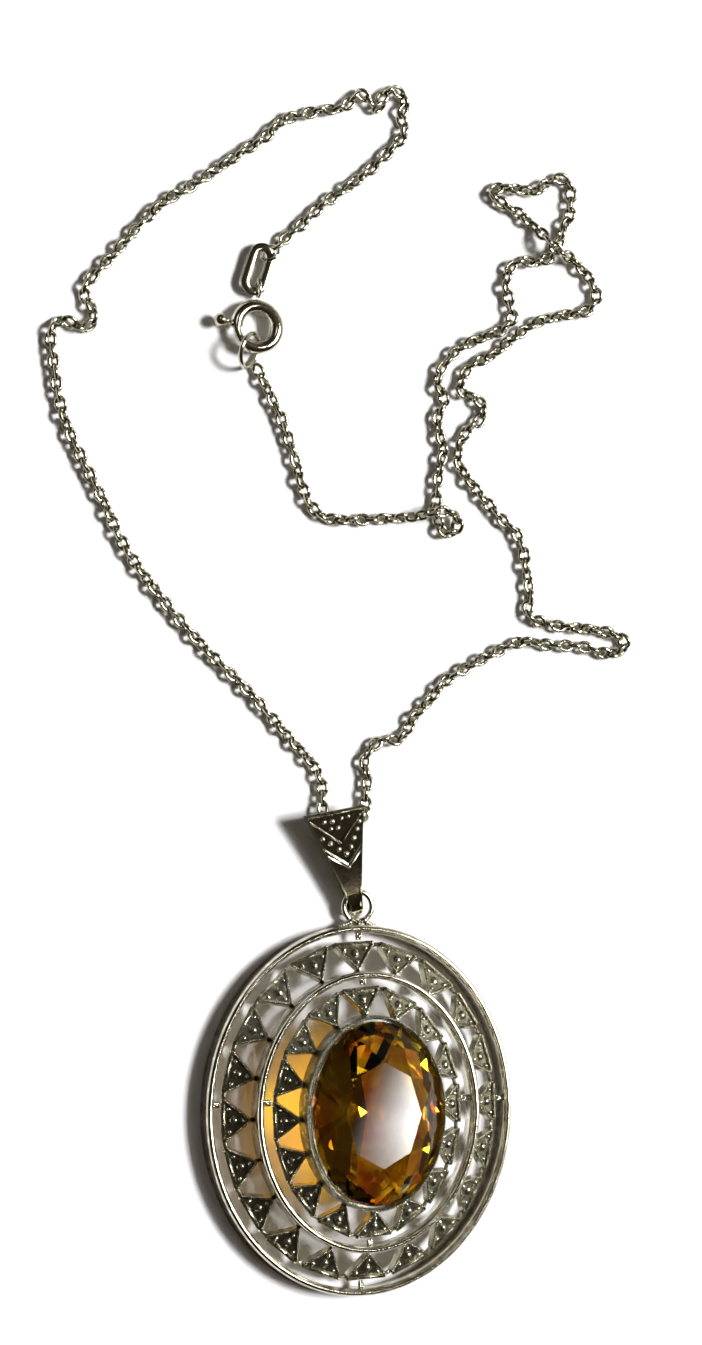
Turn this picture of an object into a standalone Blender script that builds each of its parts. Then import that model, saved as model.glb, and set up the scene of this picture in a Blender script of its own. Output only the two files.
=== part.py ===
"""A pendant necklace: an oval openwork pendant with a faceted stone, on a belcher chain with a bolt ring.

The pendant lies on its back, with +Z up and +Y towards its bail. The origin is under the middle of
the pendant and its bail, at the height that they lie on. Lengths below are in millimetres.
"""

import math

import bmesh
import bpy
from mathutils import Matrix, Vector

MM = 0.001
SOLDER_GAP = 0.04  # between pieces that are soldered together

# The oval pendant, a stepped dome. Half widths along X and Y of each oval, seen from above.
OVAL_CENTRE = Vector((0, -6.6, 0))
OUTER_RIM = (17.6, 20.1)
OUTER_RIM_WALL = 0.85
OUTER_RIM_HEIGHTS = (0, 2.6)
INNER_RIM = (12.75, 15.2)
INNER_RIM_WALL = 0.8
INNER_RIM_HEIGHTS = (2.8, 5.3)
RIM_EDGE = 0.2
BEZEL = (7.95, 10.55)
BEZEL_WALL = 0.36
BEZEL_HEIGHTS = (4.6, 7.7)
SEAT_WALL = 0.5
SEAT_HEIGHTS = (5.0, 6.2)

# Each gallery is a ring of triangular plaques that point inwards, joined at their base corners.
OUTER_GALLERY_BASE = (15.95, 18.5)
OUTER_GALLERY_TIP = (12.86, 15.3)
OUTER_GALLERY_HEIGHTS = (1.9, 3.4)
OUTER_PLAQUES = 20
OUTER_GALLERY_TURN = -0.13  # of a plaque's pitch, clockwise
INNER_GALLERY_BASE = (10.9, 13.75)
INNER_GALLERY_TIP = (8.02, 10.62)
INNER_GALLERY_HEIGHTS = (4.3, 5.6)
INNER_PLAQUES = 16
INNER_GALLERY_TURN = -0.15
PLAQUE_THICKNESS = 0.8
PLAQUE_BASE_SHARE = 0.84  # of the pitch; the rest is the link to the next plaque
PLAQUE_LINK = 0.5

# Short struts tie each gallery to the rim outside it: clockwise angles from the top.
STRUT_RADIUS = 0.34
OUTER_STRUTS = {"top": 0, "right": 87, "bottom": 179, "left": 273}
OUTER_STRUT_HEIGHT = 1.5
INNER_STRUTS = {"top": -2, "right": 85, "bottom": 178, "left": 275}
INNER_STRUT_HEIGHT = 3.9

# The 15 x 20 mm oval stone.
STONE = (7.5, 10.0)
GIRDLE_HEIGHTS = (6.95, 7.2)
CROWN_STEP = (0.83, 8.3)  # share of the girdle's size, and height
TABLE = (0.54, 9.5)
PAVILION_STEP = (0.62, 3.9)
CULET_HEIGHT = 1.1

# The hanging ring on the rim's top, and the bail that hooks through it.
HANGING_RING_RADIUS = 1.62
HANGING_RING_WIRE = 0.33
HANGING_RING_HEIGHT = 1.3
BAIL_LEAN = math.radians(15.5)  # to the left
BAIL_SLIP = math.radians(29)  # of its hook round the hanging ring, to the left
BAIL_THICKNESS = 0.34
# Inner side of the strip: distance from the ring's wire towards the top, height, width, and how
# far its middle stands to the right.
BAIL_STRIP = [
    (-1.6, 1.8, 1.2, 0), (0, 1.82, 1.3, 0), (3.6, 2.12, 1.9, 0.6), (7.2, 2.42, 2.4, 1.4),
    (7.8, 2.3, 2.4, 1.4), (8.15, 1.95, 2.4, 1.4), (8.25, 1.45, 2.4, 1.4), (8.15, 0.95, 2.4, 1.4),
    (7.8, 0.56, 2.4, 1.4), (7.2, 0.42, 2.4, 1.4), (3.6, 0.58, 1.9, 0.6), (0, 0.76, 1.3, 0),
    (-1.6, 0.8, 1.2, 0), (-1.95, 0.95, 1.2, 0), (-2.1, 1.3, 1.2, 0), (-1.95, 1.65, 1.2, 0),
]
BAIL_PLATE_THICKNESS = 0.42
# The plate's left and right edges, each as across and along, and the height of its underside.
BAIL_PLATE = [
    ((-0.66, -1.9), (0.6, -1.9), 2.05), ((-0.97, 0), (0.93, 0), 2.06),
    ((-1.85, 3.6), (1.85, 3.6), 2.36), ((-3.55, 9.75), (3.42, 9.1), 2.78),
]
CHAIN_TO_BAIL = 7.2
CHAIN_AXIS_HEIGHT = 1.45

# The chain, of belcher links about 1.5 mm across, as one plain cord.
CHAIN_RADIUS = 0.68
LYING = 0.75  # height of its middle where it lies on the table
MOST_BEND = math.radians(26)  # between two points of the cord
MOST_STEP = 4.0
LEFT_STRAND = [
    (-8.8, 87.5), (-6.5, 89.3), (-4.2, 91.5), (-1.3, 93.6), (1.5, 95.7), (3.4, 97.5), (5.0, 99.1),
    (5.7, 100.5), (5.2, 101.8), (5.7, 103.2), (4.6, 104.7), (3.2, 104.0), (2.5, 102.6),
    (1.5, 103.5), (0.2, 104.1), (-0.8, 103.0), (-2.0, 102.3), (-3.9, 102.1), (-6.1, 101.5),
    (-8.5, 100.7), (-10.5, 98.8), (-12.7, 97.4), (-15.6, 95.4), (-19.0, 93.1), (-22.4, 91.0),
    (-25.8, 87.5), (-28.0, 85.1), (-30.3, 82.6), (-30.8, 81.0), (-30.0, 79.6), (-30.1, 78.0),
    (-31.4, 77.6), (-32.8, 78.2), (-34.1, 77.8), (-34.6, 76.3), (-34.3, 74.2), (-33.9, 71.3),
    (-33.0, 67.6), (-31.3, 63.9), (-28.5, 58.6), (-26.2, 54.0), (-21.8, 48.3), (-17.3, 43.4),
    (-12.2, 38.6), (-7.6, 33.7), (-5.1, 31.0), (-4.1, 29.3), (-3.9, 27.9),
]
# Through the bail: along the bail's width, along its length, and height, from the bail's chain axis.
BAIL_PASS = [
    (-0.5, 2.8, -0.5), (-0.85, 1.6, -0.3), (-0.65, 0.6, -0.1), (0.05, 0.05, 0), (1.45, -0.2, 0),
    (2.6, -0.05, 0), (3.55, 0.35, -0.1), (4.1, 1.1, -0.35), (4.5, 2.1, -0.6),
]
RIGHT_STRAND = [
    (1.3, 29.2), (1.0, 31.0), (1.7, 32.6), (3.3, 33.6), (5.0, 33.6), (6.0, 34.8),
    (6.9, 36.3), (8.4, 37.8), (10.3, 39.9), (13.1, 41.6), (16.3, 43.2), (19.0, 44.3), (20.9, 44.4),
    (22.6, 44.1), (25.0, 44.0), (27.4, 43.8), (29.6, 43.2), (31.4, 43.5), (31.7, 44.6),
    (30.3, 45.4), (28.4, 45.8), (26.2, 46.0), (23.8, 46.2), (22.2, 46.6), (20.9, 46.9),
    (20.2, 47.9), (20.5, 49.5), (20.1, 51.8), (19.7, 54.3), (18.8, 56.4), (17.0, 58.0),
    (15.0, 60.1), (13.0, 62.4), (11.9, 64.3), (12.2, 66.1), (13.1, 67.7), (14.5, 68.8),
    (14.8, 70.4), (13.8, 71.2), (12.4, 71.9), (12.4, 73.3), (13.8, 74.9), (15.8, 75.9),
    (18.2, 77.7), (21.2, 79.7), (24.3, 80.6), (27.2, 81.2), (28.4, 82.6), (28.0, 84.2),
    (26.5, 86.0), (24.8, 87.1, 1.4), (22.9, 87.9, 2.3), (21.9, 89.2, 1.6), (21.0, 90.3),
    (19.1, 91.8), (17.2, 92.8), (16.0, 93.7), (16.9, 94.5), (19.3, 94.4), (21.2, 94.3),
    (22.4, 95.2), (24.0, 95.8), (25.2, 95.2), (25.4, 93.5), (25.2, 91.7), (24.3, 90.0),
    (24.0, 88.7), (23.0, 87.2), (21.4, 86.4), (19.6, 86.5), (18.2, 85.7), (17.6, 84.0),
    (18.0, 82.0), (18.4, 80.4), (17.3, 78.9), (15.1, 78.0), (12.4, 76.8), (10.6, 75.1),
    (9.5, 73.1), (10.1, 71.5), (10.3, 70.3), (9.6, 69.1), (9.7, 67.4), (10.2, 65.4), (9.7, 63.2),
    (9.5, 61.0), (9.3, 59.2), (9.6, 57.6), (10.3, 56.3), (11.5, 56.4), (11.7, 57.6, 1.2),
    (10.5, 58.4, 2.2), (8.8, 58.5, 2.4), (7.6, 58.2, 1.6), (6.1, 57.9), (2.8, 57.7), (-0.7, 57.5),
    (-3.2, 57.7), (-4.9, 58.7), (-6.1, 60.8), (-7.2, 64.5), (-8.5, 68.1), (-10.1, 71.3),
    (-11.2, 73.3),
]

# The clasp, where it lies.
END_RING_CENTRE = Vector((-10.05, 86.24, 1.0))
END_RING_RADIUS = 1.0
END_RING_WIRE = 0.2
END_RING_TURN = math.radians(45)  # direction of its line through the tag's wall
END_RING_TILT = math.radians(-52)
TAG_CENTRE = Vector((-11.37, 84.46, 1.0))
TAG_TURN = math.radians(-18)
TAG_SIZE = (3.0, 5.9)
TAG_HOLE = (1.2, 4.1)
TAG_THICKNESS = 0.4
BOLT_RING_CENTRE = Vector((-11.64, 78.18, 1.44))
BOLT_RING_LEAN = math.radians(-6)  # its side by the tag lies lower
BOLT_RING_RADIUS = 2.3
CASE_RADIUS = 0.7
CASE_HOLLOW = 0.53
CASE_ENDS = (-128, 182)  # degrees round the ring, counter-clockwise from its right
SLOT_START = 112
SLOT_WIDTH = 0.5
BOLT_ENDS = (118, 236)
BOLT_RADIUS = 0.42
TRIGGER_TURN = 171
TRIGGER_BALL = 0.75
TRIGGER_REACH = 4.15
TRIGGER_STEM = 0.18
SPRING_ENDS = (-60, 116)
SPRING_TURNS = 14
SPRING_WIRE = 0.06
SPRING_COIL = 0.36
EYE_CENTRE = Vector((0.3, 4.26, 0))  # from the bolt ring's centre, in its plane
EYE_SIZE = (0.98, 0.74)
EYE_WIRE = 0.19
JUMP_RING_TURN = math.radians(250.6)
JUMP_RING_REACH = 2.8
JUMP_RING_RADIUS = 1.85
JUMP_RING_WIRE = 0.3
JUMP_RING_TILT = math.radians(-45)  # its left side is up

for old in list(bpy.data.objects):
    bpy.data.objects.remove(old, do_unlink=True)
PARTS = bpy.data.collections.new("pendant_necklace")
CUTTERS = bpy.data.collections.new("cutters")
bpy.context.scene.collection.children.link(PARTS)
bpy.context.scene.collection.children.link(CUTTERS)


def finish(name, colour, metallic, roughness, transmission=0.0):
    material = bpy.data.materials.new(name)
    material.use_nodes = True
    shader = material.node_tree.nodes["Principled BSDF"]
    shader.inputs["Base Color"].default_value = (*colour, 1)
    shader.inputs["Metallic"].default_value = metallic
    shader.inputs["Roughness"].default_value = roughness
    shader.inputs["Transmission Weight"].default_value = transmission
    return material


BRIGHT_SILVER = finish("bright_silver", (0.80, 0.78, 0.72), 1.0, 0.12)
AGED_SILVER = finish("aged_silver", (0.58, 0.56, 0.47), 1.0, 0.3)
SPRING_STEEL = finish("spring_steel", (0.45, 0.45, 0.44), 1.0, 0.35)
AMBER_GLASS = finish("amber_glass", (0.75, 0.33, 0.02), 0.0, 0.03, 0.8)


def add_mesh(name, bm, material, smooth=True):
    """An object from a bmesh in millimetres; its faces are turned outwards."""
    bmesh.ops.recalc_face_normals(bm, faces=bm.faces)
    bmesh.ops.scale(bm, verts=bm.verts, vec=(MM, MM, MM))
    mesh = bpy.data.meshes.new(name)
    bm.to_mesh(mesh)
    bm.free()
    mesh.materials.append(material)
    if smooth:
        mesh.shade_smooth()
        mesh.set_sharp_from_angle(angle=math.radians(35))
    piece = bpy.data.objects.new(name, mesh)
    PARTS.objects.link(piece)
    return piece


def add_tube(name, points, radius, material, closed=False, sides=2):
    """A round wire or tube through the points: a curve with a bevel."""
    curve = bpy.data.curves.new(name, "CURVE")
    curve.dimensions = "3D"
    curve.bevel_depth = radius * MM
    curve.bevel_resolution = sides
    curve.use_fill_caps = not closed
    curve.twist_mode = "MINIMUM"
    spline = curve.splines.new("POLY")
    spline.points.add(len(points) - 1)
    for slot, point in zip(spline.points, points):
        slot.co = (*(Vector(point) * MM), 1)
    spline.use_cyclic_u = closed
    spline.use_smooth = True
    curve.materials.append(material)
    tube = bpy.data.objects.new(name, curve)
    PARTS.objects.link(tube)
    return tube


def as_mesh(tube):
    """Replaces a curve object by its mesh, with the caps welded on, so that it can be cut."""
    evaluated = tube.evaluated_get(bpy.context.evaluated_depsgraph_get())
    mesh = bpy.data.meshes.new_from_object(evaluated)
    bm = bmesh.new()
    bm.from_mesh(mesh)
    bmesh.ops.remove_doubles(bm, verts=bm.verts, dist=0.001 * MM)
    bmesh.ops.recalc_face_normals(bm, faces=bm.faces)
    bm.to_mesh(mesh)
    bm.free()
    name = tube.name
    bpy.data.objects.remove(tube, do_unlink=True)
    solid = bpy.data.objects.new(name, mesh)
    PARTS.objects.link(solid)
    return solid


def combine(piece, tool, operation):
    """Cuts a solid from a piece or joins it on, and keeps the solid out of sight."""
    for home in list(tool.users_collection):
        home.objects.unlink(tool)
    CUTTERS.objects.link(tool)
    tool.hide_render = True
    tool.display_type = "WIRE"
    boolean = piece.modifiers.new(tool.name, "BOOLEAN")
    boolean.operation = operation
    boolean.solver = "EXACT"
    boolean.object = tool


def cut(piece, tool):
    combine(piece, tool, "DIFFERENCE")


def join(piece, tool):
    combine(piece, tool, "UNION")


def oval_point(sizes, clockwise, height):
    """A point of an oval, at an angle in radians from its top."""
    x = sizes[0] * math.sin(clockwise)
    y = sizes[1] * math.cos(clockwise)
    return OVAL_CENTRE + Vector((x, y, height))


def even_angles(sizes, turns):
    """The angles that divide an oval's length evenly, for each number of turns from 0 to 1."""
    steps = 2000
    lengths = [0.0]
    for step in range(steps):
        middle = 2 * math.pi * (step + 0.5) / steps
        speed = math.hypot(sizes[0] * math.cos(middle), sizes[1] * math.sin(middle))
        lengths.append(lengths[-1] + speed)
    angles = []
    for turn in turns:
        whole = math.floor(turn)
        goal = (turn - whole) * lengths[-1]
        step = sum(1 for length in lengths if length <= goal) - 1
        angles.append(2 * math.pi * (whole + step / steps))
    return angles


def oval_band(name, sizes, wall, heights, segments, material, edge=0.0):
    """A wall that follows an oval: an open surface with its thickness on the inside."""
    bm = bmesh.new()
    bmesh.ops.create_circle(bm, segments=segments, radius=1)
    bmesh.ops.scale(bm, verts=bm.verts, vec=(sizes[0], sizes[1], 1))
    bmesh.ops.translate(bm, verts=bm.verts, vec=OVAL_CENTRE + Vector((0, 0, heights[0])))
    raised = bmesh.ops.extrude_edge_only(bm, edges=bm.edges)
    top = [item for item in raised["geom"] if isinstance(item, bmesh.types.BMVert)]
    bmesh.ops.translate(bm, verts=top, vec=(0, 0, heights[1] - heights[0]))
    band = add_mesh(name, bm, material)
    shell = band.modifiers.new("wall", "SOLIDIFY")
    shell.thickness = wall * MM
    shell.offset = -1
    if edge:
        rounding = band.modifiers.new("rounded_edges", "BEVEL")
        rounding.width = edge * MM
        rounding.segments = 1
        rounding.limit_method = "ANGLE"
        rounding.angle_limit = math.radians(50)
    return band


def gallery(name, base, tip, heights, plaques, turn, material):
    """One flat openwork outline, extruded, and then sloped up from its base to its tips."""
    half = PLAQUE_BASE_SHARE / 2
    pitches = [number + turn for number in range(plaques)]
    corners = [(pitch + side) / plaques for pitch in pitches for side in (-half, half)]
    outer = [oval_point(base, angle, 0) for angle in even_angles(base, corners)]
    tips = [oval_point(tip, angle, 0) for angle in even_angles(base, [p / plaques for p in pitches])]
    inner = []
    for number, point in enumerate(tips):
        left, right = outer[2 * number], outer[2 * number + 1]
        inward = (point - (left + right) / 2).normalized()
        inner += [left + inward * PLAQUE_LINK, point, right + inward * PLAQUE_LINK]
    curve = bpy.data.curves.new(name, "CURVE")
    curve.dimensions = "2D"
    curve.fill_mode = "BOTH"
    curve.extrude = PLAQUE_THICKNESS / 2 * MM
    for outline in (outer, inner):
        spline = curve.splines.new("POLY")
        spline.points.add(len(outline) - 1)
        for slot, point in zip(spline.points, outline):
            slot.co = (point.x * MM, point.y * MM, 0, 1)
        spline.use_cyclic_u = True
    curve.materials.append(material)
    flat = bpy.data.objects.new(name, curve)
    PARTS.objects.link(flat)
    piece = as_mesh(flat)
    for vertex in piece.data.vertices:
        place = vertex.co / MM - OVAL_CENTRE
        out = math.hypot(place.x / base[0], place.y / base[1])
        tip_out = (tip[0] / base[0] + tip[1] / base[1]) / 2
        share = (1 - out) / (1 - tip_out)
        lift = heights[0] + (heights[1] - heights[0]) * share - PLAQUE_THICKNESS / 2
        vertex.co.z += lift * MM
    return piece


def strut(name, clockwise, height, rim, rim_wall, base, material):
    """A short round bar from a rim's inner wall to a gallery's base."""
    angle = math.radians(clockwise)
    start = oval_point((rim[0] - rim_wall, rim[1] - rim_wall), angle, height)
    end = oval_point(base, angle, height)
    along = (end - start).normalized()
    start += along * (SOLDER_GAP + 0.03)
    end -= along * (SOLDER_GAP + 0.03)
    bm = bmesh.new()
    bmesh.ops.create_cone(bm, cap_ends=True, segments=10, radius1=STRUT_RADIUS,
                          radius2=STRUT_RADIUS, depth=(end - start).length)
    turn = Vector((0, 0, 1)).rotation_difference(along).to_matrix().to_4x4()
    bmesh.ops.transform(bm, matrix=Matrix.Translation((start + end) / 2) @ turn, verts=bm.verts)
    return add_mesh(name, bm, material)


def torus(name, frame, radius, wire, material, segments=28, sides=8):
    """A wire ring in the XY plane of a frame."""
    turns = [2 * math.pi * step / segments for step in range(segments)]
    points = [frame @ Vector((radius * math.cos(t), radius * math.sin(t), 0)) for t in turns]
    return add_tube(name, points, wire, material, closed=True, sides=(sides - 4) // 2)


def ring_frame(centre, line_turn, tilt):
    """A frame whose XY plane holds a horizontal line at line_turn, and is tilted about it."""
    return (Matrix.Translation(centre) @ Matrix.Rotation(line_turn, 4, "Z")
            @ Matrix.Rotation(tilt, 4, "X"))


def arc(ends, radius, frame, step_degrees=8):
    count = max(2, round(abs(ends[1] - ends[0]) / step_degrees))
    points = []
    for number in range(count + 1):
        t = math.radians(ends[0] + (ends[1] - ends[0]) * number / count)
        points.append(frame @ Vector((radius * math.cos(t), radius * math.sin(t), 0)))
    return points


def smooth_route(points):
    """Points of a smooth curve through the route, closer together where it bends."""
    fine = []
    for i in range(len(points) - 1):
        before, start = points[max(i - 1, 0)], points[i]
        end, after = points[i + 1], points[min(i + 2, len(points) - 1)]
        for step in range(16):
            t = step / 16
            fine.append(0.5 * (2 * start + (end - before) * t
                               + (2 * before - 5 * start + 4 * end - after) * t ** 2
                               + (3 * start - before - 3 * end + after) * t ** 3))
    fine.append(points[-1])
    kept = [fine[0]]
    heading = fine[1] - fine[0]
    for point, following in zip(fine[1:-1], fine[2:]):
        if (heading.angle(following - point) > MOST_BEND
                or (point - kept[-1]).length > MOST_STEP):
            kept.append(point)
            heading = following - point
    if (fine[-1] - kept[-1]).length < CHAIN_RADIUS:
        kept.pop()
    kept.append(fine[-1])
    return kept


# --- the oval pendant ---
outer_rim = oval_band("outer_rim", OUTER_RIM, OUTER_RIM_WALL, OUTER_RIM_HEIGHTS, 64,
                      BRIGHT_SILVER, RIM_EDGE)
inner_rim = oval_band("inner_rim", INNER_RIM, INNER_RIM_WALL, INNER_RIM_HEIGHTS, 56,
                      BRIGHT_SILVER, RIM_EDGE)
outer_gallery = gallery("outer_gallery", OUTER_GALLERY_BASE, OUTER_GALLERY_TIP,
                        OUTER_GALLERY_HEIGHTS, OUTER_PLAQUES, OUTER_GALLERY_TURN, AGED_SILVER)
inner_gallery = gallery("inner_gallery", INNER_GALLERY_BASE, INNER_GALLERY_TIP,
                        INNER_GALLERY_HEIGHTS, INNER_PLAQUES, INNER_GALLERY_TURN, AGED_SILVER)
bezel = oval_band("bezel", BEZEL, BEZEL_WALL, BEZEL_HEIGHTS, 48, AGED_SILVER)
seat_outside = tuple(size - BEZEL_WALL - SOLDER_GAP for size in BEZEL)
seat = oval_band("stone_seat", seat_outside, SEAT_WALL, SEAT_HEIGHTS, 48, AGED_SILVER)
struts = []
for side, turned in OUTER_STRUTS.items():
    struts.append(strut("outer_strut_" + side, turned, OUTER_STRUT_HEIGHT, OUTER_RIM,
                        OUTER_RIM_WALL, OUTER_GALLERY_BASE, AGED_SILVER))
for side, turned in INNER_STRUTS.items():
    struts.append(strut("inner_strut_" + side, turned, INNER_STRUT_HEIGHT, INNER_RIM,
                        INNER_RIM_WALL, INNER_GALLERY_BASE, AGED_SILVER))


def cut_stone():
    """The hull of its girdle, its crown and pavilion steps, its table and its culet."""
    bm = bmesh.new()
    levels = [(1.0, GIRDLE_HEIGHTS[0], 32, 0), (1.0, GIRDLE_HEIGHTS[1], 32, 0),
              (*CROWN_STEP, 16, 0.5), (*TABLE, 8, 0), (*PAVILION_STEP, 16, 0.5)]
    for share, height, count, turn in levels:
        for number in range(count):
            angle = 2 * math.pi * (number + turn) / count
            size = (STONE[0] * share * 0.985, STONE[1] * share * 0.985)
            bm.verts.new(oval_point(size, angle, height))
    bm.verts.new(OVAL_CENTRE + Vector((0, 0, CULET_HEIGHT)))
    bmesh.ops.convex_hull(bm, input=bm.verts)
    return add_mesh("stone", bm, AMBER_GLASS, smooth=False)


stone = cut_stone()

# --- the hanging ring and the bail ---
ring_y = OUTER_RIM[1] + SOLDER_GAP + HANGING_RING_WIRE + HANGING_RING_RADIUS
ring_centre = OVAL_CENTRE + Vector((0, ring_y, HANGING_RING_HEIGHT))
hanging_ring = torus("hanging_ring", Matrix.Translation(ring_centre), HANGING_RING_RADIUS,
                     HANGING_RING_WIRE, BRIGHT_SILVER)
hook_place = Matrix.Rotation(BAIL_SLIP, 3, "Z") @ Vector((0, HANGING_RING_RADIUS, 0))
hook_place = ring_centre + hook_place - Vector((0, 0, HANGING_RING_HEIGHT))
bail_frame = Matrix.Translation(hook_place) @ Matrix.Rotation(BAIL_LEAN, 4, "Z")


def folded_strip():
    """A tapered strip, bent into a closed loop round the chain and the hanging ring."""
    bm = bmesh.new()
    rows = []
    for along, height, width, right in BAIL_STRIP:
        ends = [bail_frame @ Vector((right + side * width / 2, along, height)) for side in (-1, 1)]
        rows.append([bm.verts.new(end) for end in ends])
    for row, following in zip(rows, rows[1:] + rows[:1]):
        bm.faces.new((row[0], row[1], following[1], following[0]))
    strip = add_mesh("bail", bm, AGED_SILVER)
    shell = strip.modifiers.new("thickness", "SOLIDIFY")
    shell.thickness = BAIL_THICKNESS * MM
    shell.offset = 1
    return strip


def front_plate():
    """The long tapered front of the bail, of one sheet with the strip behind it."""
    bm = bmesh.new()
    rows = []
    for left, right, height in BAIL_PLATE:
        ends = [bail_frame @ Vector((*edge, height)) for edge in (left, right)]
        rows.append([bm.verts.new(end) for end in ends])
    for row, following in zip(rows, rows[1:]):
        bm.faces.new((row[0], row[1], following[1], following[0]))
    bmesh.ops.recalc_face_normals(bm, faces=bm.faces)
    whole = bmesh.ops.extrude_face_region(bm, geom=bm.faces[:])
    top = [item for item in whole["geom"] if isinstance(item, bmesh.types.BMVert)]
    bmesh.ops.translate(bm, verts=top, vec=(0, 0, BAIL_PLATE_THICKNESS))
    return add_mesh("bail_front", bm, AGED_SILVER, smooth=False)


bail = folded_strip()
join(bail, front_plate())

# --- the chain ---
chain_axis = bail_frame @ Vector((0, CHAIN_TO_BAIL, CHAIN_AXIS_HEIGHT))
route = []
for x, y, *height in LEFT_STRAND:
    route.append(Vector((x, y, *(height or [LYING]))))
for across, along, rise in BAIL_PASS:
    turned = Matrix.Rotation(BAIL_LEAN, 3, "Z") @ Vector((across, along, rise))
    route.append(chain_axis + turned)
for x, y, *height in RIGHT_STRAND:
    route.append(Vector((x, y, *(height or [LYING]))))
chain = add_tube("chain", smooth_route(route), CHAIN_RADIUS, AGED_SILVER)

# --- the clasp: end ring, tag, bolt ring and jump ring ---
end_ring = torus("chain_end_ring", ring_frame(END_RING_CENTRE, END_RING_TURN, END_RING_TILT),
                 END_RING_RADIUS, END_RING_WIRE, BRIGHT_SILVER, segments=20)


def tag():
    """A flat oblong link with round ends, stamped from sheet."""
    curve = bpy.data.curves.new("end_tag", "CURVE")
    curve.dimensions = "2D"
    curve.fill_mode = "BOTH"
    curve.extrude = TAG_THICKNESS / 2 * MM
    for width, length in (TAG_SIZE, TAG_HOLE):
        straight = (length - width) / 2
        spline = curve.splines.new("POLY")
        spline.points.add(17)
        for number, slot in enumerate(spline.points):
            end = 1 if number < 9 else -1
            t = math.pi * (number % 9) / 8
            x = end * width / 2 * math.cos(t)
            y = end * (straight + width / 2 * math.sin(t))
            slot.co = (x * MM, y * MM, 0, 1)
        spline.use_cyclic_u = True
    curve.materials.append(AGED_SILVER)
    piece = bpy.data.objects.new("end_tag", curve)
    PARTS.objects.link(piece)
    solid = as_mesh(piece)
    solid.data.transform(Matrix.Translation(TAG_CENTRE * MM) @ Matrix.Rotation(TAG_TURN, 4, "Z"))
    return solid


end_tag = tag()
bolt_frame = Matrix.Translation(BOLT_RING_CENTRE) @ Matrix.Rotation(BOLT_RING_LEAN, 4, "X")
case = as_mesh(add_tube("bolt_ring_case", arc(CASE_ENDS, BOLT_RING_RADIUS, bolt_frame),
                        CASE_RADIUS, BRIGHT_SILVER, sides=3))
past_ends = (CASE_ENDS[0] - 4, CASE_ENDS[1] + 4)
cut(case, as_mesh(add_tube("case_hollow", arc(past_ends, BOLT_RING_RADIUS, bolt_frame),
                           CASE_HOLLOW, BRIGHT_SILVER)))
wall_middle = BOLT_RING_RADIUS + (CASE_RADIUS + CASE_HOLLOW) / 2
cut(case, as_mesh(add_tube("trigger_slot", arc((SLOT_START, past_ends[1]), wall_middle, bolt_frame),
                           SLOT_WIDTH / 2, BRIGHT_SILVER)))
bolt = add_tube("bolt", arc(BOLT_ENDS, BOLT_RING_RADIUS, bolt_frame), BOLT_RADIUS, AGED_SILVER)


def trigger():
    """The ball that the thumbnail pulls, on a stem that stands out through the slot."""
    turn = math.radians(TRIGGER_TURN)
    outwards = Vector((math.cos(turn), math.sin(turn), 0))
    inner_end = BOLT_RING_RADIUS + BOLT_RADIUS + SOLDER_GAP
    stem = add_tube("trigger", [bolt_frame @ (outwards * inner_end),
                                bolt_frame @ (outwards * TRIGGER_REACH)],
                    TRIGGER_STEM, BRIGHT_SILVER)
    solid = as_mesh(stem)
    bm = bmesh.new()
    bmesh.ops.create_uvsphere(bm, u_segments=14, v_segments=10, radius=TRIGGER_BALL)
    bmesh.ops.translate(bm, verts=bm.verts, vec=bolt_frame @ (outwards * TRIGGER_REACH))
    join(solid, add_mesh("trigger_ball", bm, BRIGHT_SILVER))
    return solid


trigger_piece = trigger()


def bolt_spring():
    """A coil spring that follows the case's bend."""
    points = []
    per_turn = 8
    count = SPRING_TURNS * per_turn
    for number in range(count + 1):
        share = number / count
        round_ring = math.radians(SPRING_ENDS[0] + (SPRING_ENDS[1] - SPRING_ENDS[0]) * share)
        round_coil = 2 * math.pi * number / per_turn
        reach = BOLT_RING_RADIUS + SPRING_COIL * math.cos(round_coil)
        points.append(bolt_frame @ Vector((reach * math.cos(round_ring),
                                           reach * math.sin(round_ring),
                                           SPRING_COIL * math.sin(round_coil))))
    return add_tube("bolt_spring", points, SPRING_WIRE, SPRING_STEEL, sides=0)


spring = bolt_spring()
eye_points = []
for number in range(16):
    t = 2 * math.pi * number / 16
    rise = Vector((0, EYE_SIZE[0] * math.cos(t), EYE_SIZE[1] * math.sin(t)))
    eye_points.append(bolt_frame @ (EYE_CENTRE + rise))
eye = add_tube("bolt_ring_eye", eye_points, EYE_WIRE, BRIGHT_SILVER, closed=True)
jump_out = Vector((math.cos(JUMP_RING_TURN), math.sin(JUMP_RING_TURN), 0))
jump_centre = bolt_frame @ (jump_out * JUMP_RING_REACH)
jump_ring = torus("clasp_jump_ring", ring_frame(jump_centre, JUMP_RING_TURN, JUMP_RING_TILT),
                  JUMP_RING_RADIUS, JUMP_RING_WIRE, BRIGHT_SILVER)


# --- joints: an empty on each axis, with its X along the axis, and the pieces under it ---
def pivot(name, place, along, pieces, parent=None):
    empty = bpy.data.objects.new(name, None)
    empty.empty_display_size = 2 * MM
    turn = Vector((1, 0, 0)).rotation_difference(along).to_matrix().to_4x4()
    empty.matrix_world = Matrix.Translation(Vector(place) * MM) @ turn
    PARTS.objects.link(empty)
    if parent:
        empty.parent = parent
        empty.matrix_parent_inverse = parent.matrix_world.inverted()
    bpy.context.view_layer.update()
    for piece in pieces:
        piece.parent = empty
        piece.matrix_parent_inverse = empty.matrix_world.inverted()
    return empty


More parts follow.
